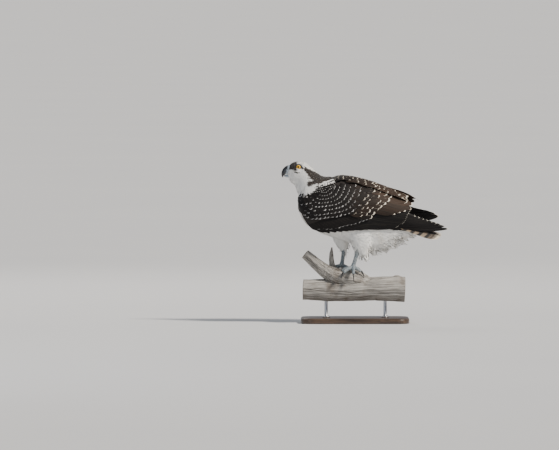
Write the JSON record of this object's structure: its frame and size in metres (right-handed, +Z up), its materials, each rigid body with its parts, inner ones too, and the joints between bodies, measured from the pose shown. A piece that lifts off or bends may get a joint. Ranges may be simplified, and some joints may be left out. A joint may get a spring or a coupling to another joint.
{
  "type": "osprey model on a branch perch",
  "caption": "Life-size still model of a perched osprey with folded wings and layered flight feathers, gripping a cut length of dead branch held by rods on a flat base.",
  "frame": {"origin": "middle of the stand base's underside, on the surface that the stand rests on", "axes": "+Z up, -X the way the bird faces, -Y the bird's left side"},
  "size_m": [0.4904, 0.19, 0.4931],
  "materials": {
    "plumage_dark": "soft dark brown feathers with pale edges",
    "plumage_white": "soft white feathers, marked with dark brown on the head",
    "tail_feather": "barred brown feathers with buff tips",
    "bill": "smooth black horn with a blue-grey base",
    "iris": "orange-yellow eye under a clear glossy surface",
    "skin": "pale blue-grey scaly skin",
    "claw": "polished black horn",
    "dead_wood": "weathered silver-grey wood with long cracks",
    "stand_wood": "dark stained hardwood, satin",
    "stand_steel": "brushed rod"
  },
  "bodies": {
    "root": {"head": "plumage_white", "neck": "plumage_white", "torso": "plumage_white", "eye_left": "iris", "eye_right": "iris", "bill_upper": "bill", "bill_lower": "bill", "wing_left": "plumage_dark", "wing_right": "plumage_dark", "tail": "tail_feather", "thigh_left": "plumage_white", "thigh_right": "plumage_white", "tarsus_left": "skin", "tarsus_right": "skin", "foot_left": "skin", "foot_right": "skin", "claw_left_inner": "claw", "claw_left_middle": "claw", "claw_left_outer": "claw", "claw_left_hind": "claw", "claw_right_inner": "claw", "claw_right_middle": "claw", "claw_right_outer": "claw", "claw_right_hind": "claw", "perch_branch": "dead_wood", "perch_side_branch": "dead_wood", "perch_twig": "dead_wood", "stand_base": "stand_wood", "stand_rod_front": "stand_steel", "stand_rod_rear": "stand_steel"}
  },
  "joints": []
}
